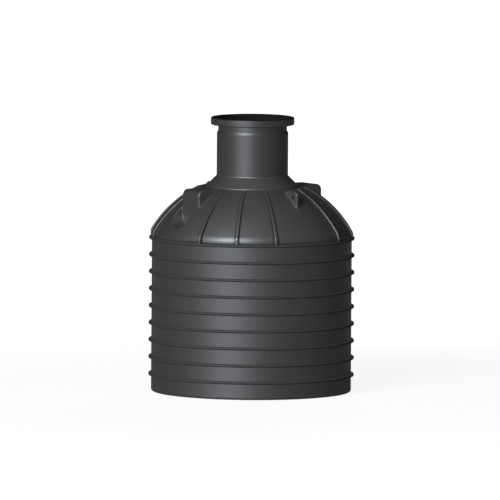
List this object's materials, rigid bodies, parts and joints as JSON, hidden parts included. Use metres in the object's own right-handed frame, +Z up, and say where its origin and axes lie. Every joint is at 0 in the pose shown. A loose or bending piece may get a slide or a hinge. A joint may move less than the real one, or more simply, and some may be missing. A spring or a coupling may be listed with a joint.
{
  "type": "underground rainwater tank",
  "caption": "Moulded upright underground rainwater tank: ribbed round wall, domed shoulder with flat pipe connections and lifting lugs, and an access neck with a wide open collar at the top.",
  "frame": {"origin": "centre of the underside, on the ground", "axes": "+Z up along the tank's axis; -X is the inlet side, +X the overflow side, and the lifting lugs face -Y and +Y"},
  "size_m": [1.728, 1.728, 2.3075],
  "materials": {
    "polyethylene": "satin"
  },
  "bodies": {
    "root": {"base": "polyethylene", "wall_segment_01": "polyethylene", "wall_segment_02": "polyethylene", "wall_segment_03": "polyethylene", "wall_segment_04": "polyethylene", "wall_segment_05": "polyethylene", "wall_segment_06": "polyethylene", "wall_segment_07": "polyethylene", "wall_segment_08": "polyethylene", "wall_segment_09": "polyethylene", "wall_segment_10": "polyethylene", "wall_segment_11": "polyethylene", "wall_segment_12": "polyethylene", "wall_segment_13": "polyethylene", "wall_segment_14": "polyethylene", "wall_segment_15": "polyethylene", "wall_segment_16": "polyethylene", "dome_panel_1": "polyethylene", "dome_panel_2": "polyethylene", "dome_panel_3": "polyethylene", "dome_panel_4": "polyethylene", "dome_panel_5": "polyethylene", "dome_panel_6": "polyethylene", "dome_panel_7": "polyethylene", "dome_panel_8": "polyethylene", "inlet_panel": "polyethylene", "overflow_panel": "polyethylene", "lug_panel_front": "polyethylene", "lug_panel_back": "polyethylene", "lifting_lug_front": "polyethylene", "lifting_lug_back": "polyethylene", "neck_foot": "polyethylene", "neck_tube": "polyethylene", "neck_rim": "polyethylene"}
  },
  "joints": []
}
